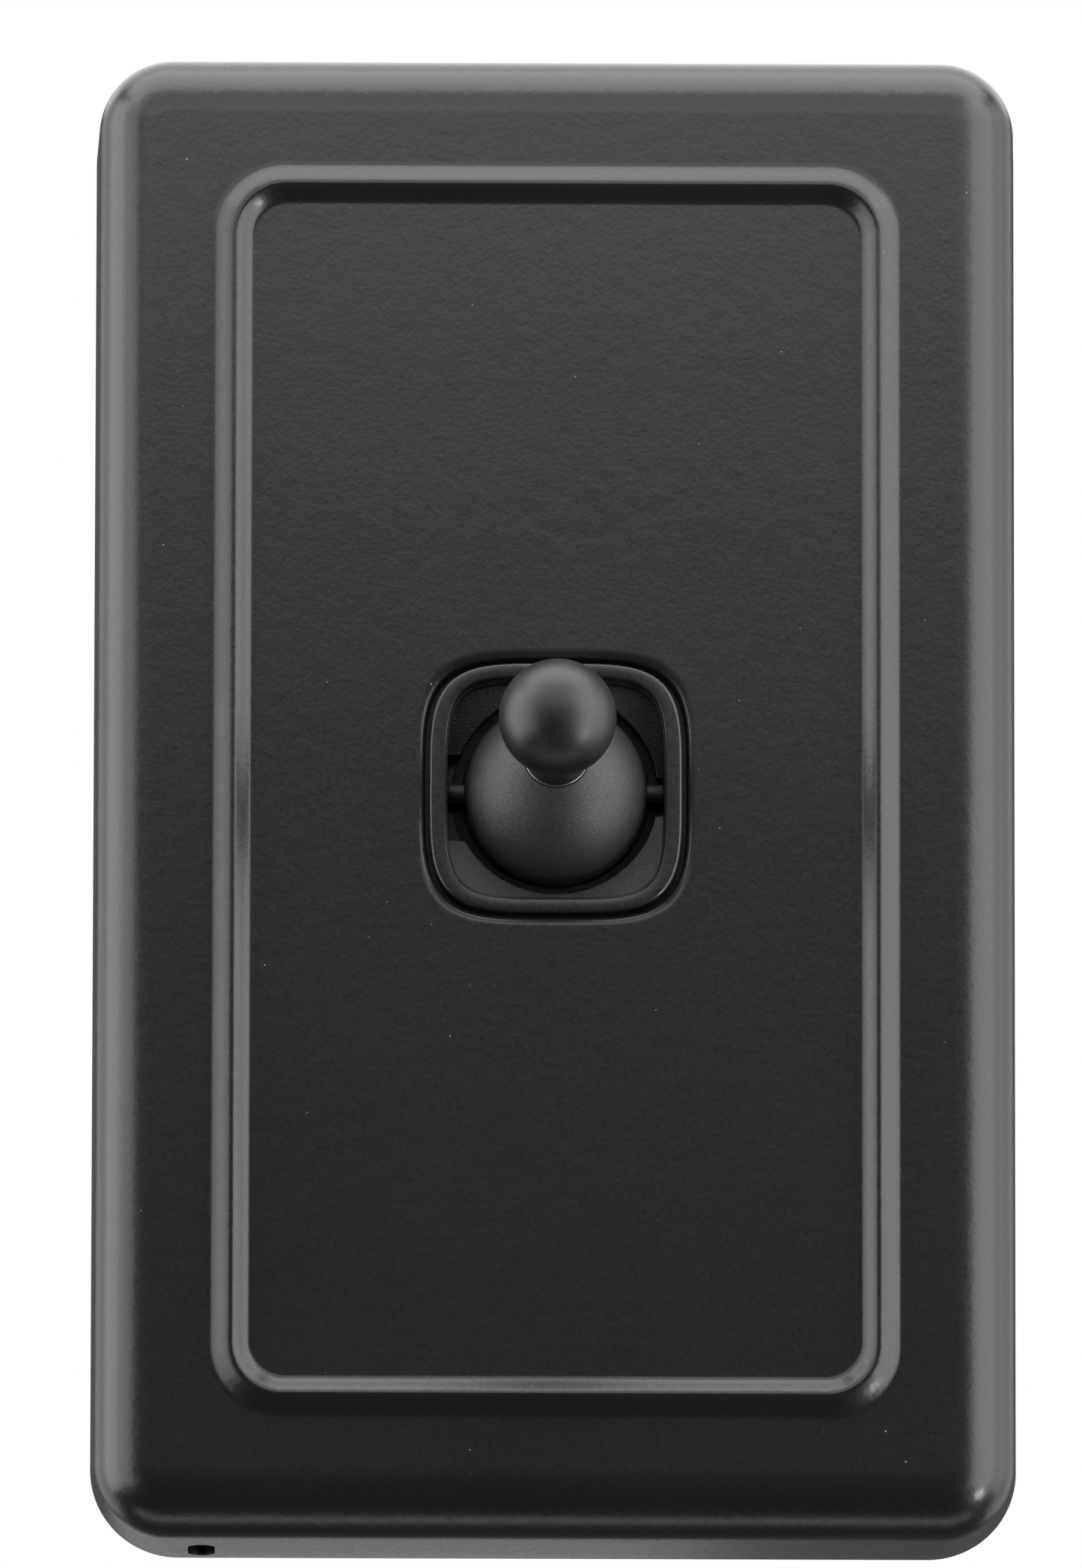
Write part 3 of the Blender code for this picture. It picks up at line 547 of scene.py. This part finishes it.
SCREW_SEGMENTS = 32
HEAD_ROUNDING = 0.45
HEAD_EDGE = 0.06
SMOOTH_SHANK = 0.5
THREAD_DEPTH = 0.42
THREAD_ROWS = 8
RIDGE_POWER = 1.2
TIP_LENGTH = 1.6
TIP_TAPER = 0.75
SCREW_CREASE = 40.0
DRIVE_WIDTH = 0.13
DRIVE_LENGTHS = {"slot": 1.2, "cross": 0.62}
DRIVE_SPAN = (-1.3, -0.45)

# (name, places, radius and height of the head, core radius, length and pitch of the shank)
CROSS_SCREWS = (
    ("mounting_screw_", ("top", "bottom"), (3.2, 2.1), (1.7, 30.0, 0.6)),
    ("mechanism_screw_", ("top", "bottom"), (2.4, 1.5), (1.25, 7.0, 0.6)),
    ("body_screw_", ("upper", "lower"), (1.7, 1.1), (1.0, 12.5, 0.5)),
)
# terminal and the axis along which its screw goes in: 0 for X, 2 for Z
TERMINAL_AXES = (("one", 2), ("two", 2), ("common", 0), ("loop", 0))
TERMINAL_HEAD = (2.0, 1.3)
TERMINAL_SHANK = (1.3, 2.9, 0.5)

PLUNGER_STEM = (0.6, 0.8)
PLUNGER_BODY = (1.9, 6.0, 1.75)
PLUNGER_TIP = (6.6, 1.2)
SPRING_SPAN = (-2.88, 1.06)
SPRING_TURNS = 5
SPRING_R = 1.35
WIRE_R = 0.22
COIL_STEPS = 32
WIRE_SIDES = 12

CONTACT_REACH = 8.0
MOVING_FACE, MOVING_TAIL = 1.45, -1.1
FIXED_FACE, FIXED_TAIL = 1.3, 3.85
# (depth, radius) of the domed face and, from the shank to the end, of the closed tail
RIVET_HEAD = ((0.0, 0.0), (0.02, 0.7), (0.1, 1.2), (0.22, 1.42), (0.34, 1.5), (0.75, 1.5), (0.75, 0.5))
RIVET_TAIL = ((0.4, 0.5), (0.4, 1.1), (0.12, 1.1), (0.0, 0.9), (0.0, 0.0))


def head_rings(head_r, head_h, core_r):
    """Rings down a screw head: domed top, small lower edge, flat underside."""
    rounding = head_h * HEAD_ROUNDING
    rows = arc((rounding - head_h, head_r - rounding), rounding, 180, 90, 5)
    rows += [(-HEAD_EDGE, head_r), (0.0, head_r - HEAD_EDGE), (0.0, core_r)]
    return [circle(distance, [radius] * SCREW_SEGMENTS) for distance, radius in rows]


def thread_rings(core_r, length, pitch):
    """Rings down a shank, with a helical ridge that fades in below the head and out at the tip."""
    rings = []
    rows = int((length - SMOOTH_SHANK) / pitch * THREAD_ROWS)
    for row in range(rows + 1):
        distance = SMOOTH_SHANK + (length - SMOOTH_SHANK) * row / rows
        tip = max(0.0, 1 - (length - distance) / (core_r * TIP_LENGTH))
        fade = min(1.0, (distance - SMOOTH_SHANK) / pitch) * (1 - tip)
        core = core_r * (1 - TIP_TAPER * tip)
        radii = []
        for step in range(SCREW_SEGMENTS):
            phase = (distance / pitch - step / SCREW_SEGMENTS) % 1.0
            radii.append(core - pitch * THREAD_DEPTH * fade * abs(2 * phase - 1) ** RIDGE_POWER)
        rings.append(circle(distance, radii))
    return rings


def screw(node, at, direction, head, shank, drive):
    """Pan-head screw with a helical thread; direction points from the head to the tip."""
    head_r, head_h = head
    rings = head_rings(head_r, head_h, shank[0]) + thread_rings(*shank)
    aim = Vector((0, 1, 0)).rotation_difference(Vector(direction))
    turn = Matrix.Translation(at) @ aim.to_matrix().to_4x4()
    obj = piece(node + "_threaded", loft(rings), "base", (node,), turn, SCREW_CREASE)
    width, length = head_r * DRIVE_WIDTH, head_r * DRIVE_LENGTHS[drive]
    sink = [head_h * share for share in DRIVE_SPAN]
    blades = [block((-width, width), sink, (-length, length))]
    if drive == "cross":
        blades.append(block((-length, length), sink, (-width, width)))
    for blade in blades:
        blade.transform(turn)
    return carve(obj, blades, SCREW_CREASE)


def cross_screws():
    """Steel screws that go in along Y, each with its head at the front of its CAD box."""
    screws = []
    for name, places, head, shank in CROSS_SCREWS:
        for word in places:
            low, high = box_mm(name + word)
            middle = (low + high) / 2
            at = (middle.x, low.y + head[1], middle.z)
            screws.append(screw(name + word, at, (0, 1, 0), head, shank, "cross"))
    return screws


def terminal_screws():
    """Brass clamp screws that go in towards the middle, each with its head at its CAD box's outer end."""
    screws = []
    for word, axis in TERMINAL_AXES:
        node = "terminal_screw_" + word
        low, high = box_mm(node)
        at = (low + high) / 2
        outward = math.copysign(1.0, at[axis])
        at[axis] = (high[axis] if outward > 0 else low[axis]) - outward * TERMINAL_HEAD[1]
        direction = Vector()
        direction[axis] = -outward
        screws.append(screw(node, at, direction, TERMINAL_HEAD, TERMINAL_SHANK, "slot"))
    return screws


def plunger_turning():
    stem_start, stem_r = PLUNGER_STEM
    start, end, body_r = PLUNGER_BODY
    tip, tip_r = PLUNGER_TIP
    profile = [(stem_start, 0.0), (stem_start, stem_r - CHAMFER), (stem_start + CHAMFER, stem_r),
               (start, stem_r), (start, body_r - CHAMFER), (start + CHAMFER, body_r), (end, body_r),
               (end + 0.15, body_r - 0.07)]
    profile += arc((tip, 0.0), tip_r, 90, 0, 14)[:-1] + [(tip + tip_r, 0.0)]
    return piece("plunger_turning", turned(profile, 64), "plunger", ("plunger",),
                 TOGGLE_TURN)


def spring_coil():
    low, high = SPRING_SPAN
    steps = SPRING_TURNS * COIL_STEPS
    loops = []
    for step in range(steps + 1):
        angle = 2 * math.pi * step / COIL_STEPS
        outward = Vector((math.cos(angle), 0.0, math.sin(angle)))
        centre = outward * SPRING_R + Vector((0.0, low + (high - low) * step / steps, 0.0))
        loop = []
        for side in range(WIRE_SIDES):
            turn = 2 * math.pi * side / WIRE_SIDES
            across = outward * WIRE_R * math.cos(turn)
            along = Vector((0.0, WIRE_R * math.sin(turn), 0.0))
            loop.append(centre + across + along)
        loops.append(loop)
    return piece("spring_coil", loft(loops), "toggle", ("plunger_spring",), TOGGLE_TURN)


def rivet(face, tail):
    """Turned rivet with a domed contact face; face and tail are its ends along Y."""
    into = math.copysign(1.0, tail - face)
    profile = [(face + into * depth, radius) for depth, radius in RIVET_HEAD]
    profile += [(tail - into * depth, radius) for depth, radius in RIVET_TAIL]
    return turned(profile, 40)


def rivets():
    made = []
    for word, side in (("upper", 1), ("lower", -1)):
        place_at = Matrix.Translation((0, 0, side * CONTACT_REACH))
        made.append(piece("moving_rivet_" + word, rivet(MOVING_FACE, MOVING_TAIL), "rocker",
                          ("moving_contact_" + word,), ROCKER_TURN @ place_at))
        made.append(piece("fixed_rivet_" + word, rivet(FIXED_FACE, FIXED_TAIL), "base",
                          ("fixed_contact_" + word,), place_at))
    return made


# --------------------------------------------------------------------- nodes


def new_material(name, **uniform):
    """Principled material; every keyword is a uniform input of its shader."""
    material = bpy.data.materials.new(name)
    material.use_nodes = True
    shader = material.node_tree.nodes["Principled BSDF"]
    for socket, value in uniform.items():
        shader.inputs[socket.replace("_", " ")].default_value = value
    return material, material.node_tree, shader


def feed(tree, node, **inputs):
    """Fill a node's inputs: every keyword is an input, its value a socket to link or a number to set."""
    for name, value in inputs.items():
        socket = node.inputs[name.replace("_", " ")]
        if isinstance(value, bpy.types.NodeSocket):
            tree.links.new(value, socket)
        else:
            socket.default_value = value
    return node


def add(tree, kind, **inputs):
    return feed(tree, tree.nodes.new("ShaderNode" + kind), **inputs)


def place(tree, stretch=(1.0, 1.0, 1.0)):
    coordinates = add(tree, "TexCoord")
    return add(tree, "Mapping", Vector=coordinates.outputs["Object"], Scale=stretch).outputs["Vector"]


def speckle(tree, where, size_mm, detail=3.0, roughness=0.55):
    scale = 1 / (size_mm * MM)
    return add(tree, "TexNoise", Vector=where, Scale=scale, Detail=detail, Roughness=roughness).outputs[0]


def remap(tree, value, low, high, to_low, to_high):
    node = add(tree, "MapRange", Value=value, From_Min=low, From_Max=high, To_Min=to_low, To_Max=to_high)
    return node.outputs[0]


# sockets of a Mix node that hold colours
COLOUR_A, COLOUR_B, COLOUR_OUT = 6, 7, 2


def tint(tree, share, first, second):
    """Colour between two, each a colour or a socket, by a share."""
    node = tree.nodes.new("ShaderNodeMix")
    node.data_type = "RGBA"
    tree.links.new(share, node.inputs["Factor"])
    for index, colour in ((COLOUR_A, first), (COLOUR_B, second)):
        if isinstance(colour, bpy.types.NodeSocket):
            tree.links.new(colour, node.inputs[index])
        else:
            node.inputs[index].default_value = (*colour, 1.0)
    return node.outputs[COLOUR_OUT]


def product(tree, first, second):
    node = tree.nodes.new("ShaderNodeMath")
    node.operation = "MULTIPLY"
    tree.links.new(first, node.inputs[0])
    tree.links.new(second, node.inputs[1])
    return node.outputs[0]


def relief(tree, shader, *layers):
    """Chain of bumps from (height socket, depth in millimetres) pairs."""
    normal = None
    for height, depth in layers:
        node = add(tree, "Bump", Height=height, Distance=depth * MM)
        if normal is not None:
            tree.links.new(normal, node.inputs["Normal"])
        normal = node.outputs["Normal"]
    tree.links.new(normal, shader.inputs["Normal"])


# ----------------------------------------------------------------- materials


def dust(tree, where, cell_mm, radius):
    """Mask of rare, tiny round specks."""
    cells = add(tree, "TexVoronoi", Vector=where, Scale=1 / (cell_mm * MM), Randomness=1.0)
    near = remap(tree, cells.outputs["Distance"], radius, radius * 0.5, 0.0, 1.0)
    picked = add(tree, "SeparateColor", Color=cells.outputs["Color"])
    chosen = remap(tree, picked.outputs[0], 0.8, 0.95, 0.0, 1.0)
    return product(tree, near, chosen)


def wall_lines(tree, where):
    """Height of fine drawn lines along the side walls, gone before the rounded edge."""
    depth = add(tree, "SeparateXYZ", Vector=where).outputs["Y"]
    on_wall = remap(tree, depth, (FILLET_Y - 0.4) * MM, (FILLET_Y + 0.8) * MM, 0.0, 1.0)
    lines = speckle(tree, place(tree, (0.03, 1.0, 0.03)), 0.35, 4.0, 0.65)
    return product(tree, on_wall, lines)


def powder_coat():
    """Satin black coating with a fine peel, light specks and drawn lines on the side walls."""
    material, tree, shader = new_material("powder_coat")
    where = place(tree)
    base = tint(tree, speckle(tree, where, 14.0), (0.0055, 0.0056, 0.0060), (0.0085, 0.0086, 0.0092))
    specks = dust(tree, where, 1.6, 0.045)
    fine = speckle(tree, where, 0.35)
    peel = speckle(tree, where, 1.6, 2.0)
    feed(tree, shader, Base_Color=tint(tree, specks, base, (0.28, 0.28, 0.28)),
         Roughness=remap(tree, fine, 0.3, 0.7, 0.26, 0.32))
    relief(tree, shader, (peel, 0.02), (fine, 0.012), (specks, 0.02), (wall_lines(tree, where), 0.03))
    return material


def sandy_black():
    """Sandy black: light and dark grains of uneven gloss over a slow unevenness."""
    material, tree, shader = new_material("toggle_black")
    where = place(tree)
    grain = speckle(tree, where, 0.16, 4.0, 0.75)
    light = remap(tree, grain, 0.35, 0.7, 0.0, 1.0)
    feed(tree, shader, Base_Color=tint(tree, light, (0.003, 0.003, 0.0031), (0.034, 0.034, 0.035)),
         Roughness=remap(tree, grain, 0.3, 0.7, 0.5, 0.3))
    relief(tree, shader, (speckle(tree, where, 0.9), 0.015), (grain, 0.04))
    return material


def satin_black():
    """Smooth satin black with slow changes of gloss."""
    material, tree, shader = new_material("lever_black")
    where = place(tree)
    fine = speckle(tree, where, 0.18)
    blotch = speckle(tree, where, 2.4)
    feed(tree, shader, Base_Color=tint(tree, blotch, (0.004, 0.004, 0.0042), (0.008, 0.008, 0.0082)),
         Roughness=remap(tree, blotch, 0.3, 0.7, 0.36, 0.46))
    relief(tree, shader, (blotch, 0.014), (fine, 0.012))
    return material


def plastic(name, dark, light, roughness, grain_mm, depth):
    """Moulded plastic with an even grain, slight colour variation and a slow unevenness."""
    material, tree, shader = new_material(name)
    where = place(tree)
    grain = speckle(tree, where, grain_mm, 4.0, 0.65)
    slow = speckle(tree, where, 6.0)
    feed(tree, shader, Base_Color=tint(tree, slow, dark, light),
         Roughness=remap(tree, grain, 0.3, 0.7, roughness - 0.06, roughness + 0.08))
    relief(tree, shader, (slow, depth * 0.6), (grain, depth))
    return material


def metal(name, dark, light, roughness, stretch=(1.0, 1.0, 1.0)):
    """Bare or plated metal with drawn lines, slight tarnish and uneven gloss."""
    material, tree, shader = new_material(name, Metallic=1.0)
    tarnish = speckle(tree, place(tree), 2.5)
    lines = speckle(tree, place(tree, stretch), 0.12)
    feed(tree, shader, Base_Color=tint(tree, remap(tree, tarnish, 0.35, 0.7, 0.0, 1.0), light, dark),
         Roughness=remap(tree, tarnish, 0.3, 0.7, roughness - 0.06, roughness + 0.14))
    relief(tree, shader, (lines, 0.006))
    return material


def floor_paper():
    """Pale paper that glows a little, so that the floor stays light from every side."""
    material, tree, shader = new_material("floor_paper", Roughness=0.8, Emission_Strength=0.75)
    shade = speckle(tree, place(tree), 300.0)
    feed(tree, shader, Base_Color=tint(tree, shade, (0.84, 0.84, 0.84), (0.88, 0.88, 0.88)))
    return material


# (name, dark and light colour, roughness, grain size and relief in millimetres)
PLASTICS = (
    ("collar_plastic", (0.008, 0.008, 0.0084), (0.012, 0.012, 0.0124), 0.28, 0.3, 0.004),
    ("moulded_plastic", (0.006, 0.0056, 0.0055), (0.011, 0.0102, 0.01), 0.36, 0.2, 0.06),
    # painted shade: near-black matte of the ring that darkens the gap round the dome
    ("shade_ring_black", (0.004, 0.004, 0.004), (0.007, 0.007, 0.007), 0.75, 0.3, 0.01),
    ("frame_nylon", (0.030, 0.030, 0.031), (0.042, 0.042, 0.043), 0.55, 0.35, 0.02),
    ("plunger_nylon", (0.62, 0.61, 0.56), (0.72, 0.71, 0.67), 0.45, 0.3, 0.006),
)
# (name, dark and light colour, roughness, stretch of the drawn lines)
METALS = (
    ("zinc_steel", (0.36, 0.37, 0.38), (0.62, 0.63, 0.65), 0.34),
    ("worn_steel", (0.20, 0.20, 0.20), (0.42, 0.42, 0.42), 0.36),
    ("bright_steel", (0.42, 0.42, 0.43), (0.66, 0.66, 0.67), 0.26, (0.1, 4.0, 4.0)),
    ("brass", (0.45, 0.30, 0.13), (0.76, 0.56, 0.27), 0.3, (4.0, 0.2, 4.0)),
    ("contact_silver", (0.60, 0.59, 0.57), (0.85, 0.84, 0.82), 0.24),
)

# ----------------------------------------------------------------- the object

# (node, body, width of the rounded edges, material slot) of the pieces made from their CAD shape
SOFTENED = (
    ("mechanism_cover", "base", 0.12, "moulded_plastic"),
    ("mechanism_housing", "base", 0.2, "moulded_plastic"),
    ("mounting_frame", "base", 0.25, "frame_nylon"),
    ("terminal_one", "base", 0.1, "brass"),
    ("terminal_two", "base", 0.1, "brass"),
    ("terminal_common", "base", 0.1, "brass"),
    ("terminal_loop", "base", 0.1, "brass"),
    ("rocker_contact", "rocker", 0.08, "brass"),
)


def build_object():
    materials = {"powder_coat": powder_coat(), "toggle_black": sandy_black(), "lever_black": satin_black()}
    materials.update((row[0], plastic(*row)) for row in PLASTICS)
    materials.update((row[0], metal(*row)) for row in METALS)

    def dress(material, *objects):
        for obj in objects:
            obj.data.materials.clear()
            obj.data.materials.append(materials[material])

    dress("powder_coat", plate_shell())
    dress("collar_plastic", collar_hoop())
    dress("toggle_black", toggle_dome())
    dress("lever_black", toggle_lever())
    dress("worn_steel", neck_rim())
    # painted shade: near-black ring that darkens the gap round the dome
    dress("shade_ring_black", dome_shade_ring())
    dress("toggle_black", *pivot_pins())
    for node, body, width, slot in SOFTENED:
        edged = softened(node, body, width)
        if node == "mechanism_cover":
            dish_floor(edged)
        dress(slot, edged)
    dress("zinc_steel", *cross_screws())
    dress("brass", *terminal_screws())
    dress("plunger_nylon", plunger_turning())
    dress("bright_steel", spring_coil())
    dress("contact_silver", *rivets())


# ------------------------------------------------- camera; lengths in metres

SENSOR = 36.0
CAMERA_DISTANCE = 1.8
CAMERA_BELOW = math.radians(10.2)
CAMERA_LEFT = math.radians(0.6)
CAMERA_ROLL = math.radians(0.1)
VIEW_HEIGHT = 0.1217316
AIM_RIGHT = -1.16 * MM
AIM_UP = 0.26 * MM


def camera():
    """Long lens that looks at the switch from a little below and to the left."""
    toward = Vector((-math.sin(CAMERA_LEFT) * math.cos(CAMERA_BELOW),
                     -math.cos(CAMERA_LEFT) * math.cos(CAMERA_BELOW),
                     -math.sin(CAMERA_BELOW)))
    right = Vector((0, 0, 1)).cross(toward).normalized()
    up = toward.cross(right)
    target = Vector((0, PLATE_FRONT * MM, 0)) + right * AIM_RIGHT + up * AIM_UP
    data = bpy.data.cameras.new("camera")
    data.sensor_width = SENSOR
    data.lens = SENSOR * CAMERA_DISTANCE / VIEW_HEIGHT
    data.clip_start = 0.01
    data.clip_end = 50.0
    obj = bpy.data.objects.new("camera", data)
    bpy.context.collection.objects.link(obj)
    basis = Matrix((right, up, toward)).transposed() @ Matrix.Rotation(CAMERA_ROLL, 3, "Z")
    obj.matrix_world = Matrix.Translation(target + toward * CAMERA_DISTANCE) @ basis.to_4x4()
    bpy.context.scene.camera = obj


# ---------------------------- light and floor; lengths in metres, power in watts

WHITE = (1.0, 1.0, 1.0)
WARM = (1.0, 0.98, 0.91)
MIDDLE = (0, 0, 0)

# (name, size, place, point it is aimed at, power, colour)
SOFTBOXES = (
    ("front_high", (0.5, 0.08), (0.0, -0.34, 0.15), MIDDLE, 0.33, WHITE),
    ("front_mid", (0.5, 0.12), (0.0, -0.28, 0.24), MIDDLE, 0.3, WHITE),
    ("top", (0.62, 0.25), (0.0, -0.06, 0.30), (0, 0, 0.02), 2.1, WHITE),
    ("top_back", (0.5, 0.3), (0.0, 0.18, 0.26), (0, 0, 0.03), 0.95, WHITE),
    ("left", (0.24, 0.58), (-0.35, -0.19, 0.05), MIDDLE, 1.25, WHITE),
    ("left_side", (0.2, 0.5), (-0.38, 0.0, 0.04), MIDDLE, 1.31, WHITE),
    ("left_back", (0.24, 0.6), (-0.32, 0.2, 0.0), MIDDLE, 0.6, WHITE),
    ("right", (0.3, 0.58), (0.34, -0.22, 0.05), MIDDLE, 2.25, WHITE),
    ("right_side", (0.2, 0.5), (0.38, 0.0, 0.04), MIDDLE, 0.78, WHITE),
    ("right_back", (0.24, 0.6), (0.32, 0.2, 0.0), MIDDLE, 0.55, WHITE),
    ("under", (0.5, 0.07), (0.0, 0.0, -0.36), (0, 0, -0.05), 0.18, WHITE),
    ("behind_left", (0.16, 0.1), (-0.06, 0.25, -0.12), (0, 0, -0.06), 0.03, WHITE),
    ("behind_right", (0.22, 0.1), (0.12, 0.25, -0.12), (0, 0, -0.06), 0.008, WHITE),
    ("lamp", (0.05, 0.05), (0.45, -0.21, -0.34), (0, 0, -0.02), 0.97, WARM),
)
WORLD_BLEND = (0.1, 0.6)
WORLD_FRONT = 0.06
WORLD_BEHIND = 0.1
FLOOR_HALF = 6.0
FLOOR_Z = -1.3


def lights():
    for name, size, place_at, aim, power, colour in SOFTBOXES:
        data = bpy.data.lights.new(name, "AREA")
        data.shape = "RECTANGLE"
        data.size, data.size_y = size
        data.energy = power
        data.color = colour
        obj = bpy.data.objects.new(name, data)
        bpy.context.collection.objects.link(obj)
        obj.location = place_at
        obj.rotation_euler = (Vector(aim) - Vector(place_at)).to_track_quat("-Z", "Y").to_euler()
        obj.visible_camera = False


def world():
    """White to the eye; for lighting, faint in front of the object and brighter behind it."""
    data = bpy.data.worlds.new("studio")
    bpy.context.scene.world = data
    data.use_nodes = True
    tree = data.node_tree
    tree.nodes.clear()
    direction = add(tree, "SeparateXYZ", Vector=add(tree, "TexCoord").outputs["Generated"])
    strength = remap(tree, direction.outputs["Y"], *WORLD_BLEND, WORLD_FRONT, WORLD_BEHIND)
    lighting = add(tree, "Background", Color=(*WHITE, 1), Strength=strength)
    seen = add(tree, "Background", Color=(*WHITE, 1), Strength=1.0)
    mix = tree.nodes.new("ShaderNodeMixShader")
    tree.links.new(add(tree, "LightPath").outputs["Is Camera Ray"], mix.inputs[0])
    tree.links.new(lighting.outputs[0], mix.inputs[1])
    tree.links.new(seen.outputs[0], mix.inputs[2])
    add(tree, "OutputWorld", Surface=mix.outputs[0])


def floor():
    bm = bmesh.new()
    bmesh.ops.create_grid(bm, x_segments=1, y_segments=1, size=FLOOR_HALF)
    mesh = bpy.data.meshes.new("floor")
    bm.to_mesh(mesh)
    bm.free()
    mesh.materials.append(floor_paper())
    obj = bpy.data.objects.new("floor", mesh)
    obj.location = (0, 0, FLOOR_Z)
    bpy.context.collection.objects.link(obj)
    obj.visible_glossy = False
    obj.visible_diffuse = False


build_object()
camera()
world()
floor()
lights()
bpy.context.scene.view_settings.view_transform = "Standard"
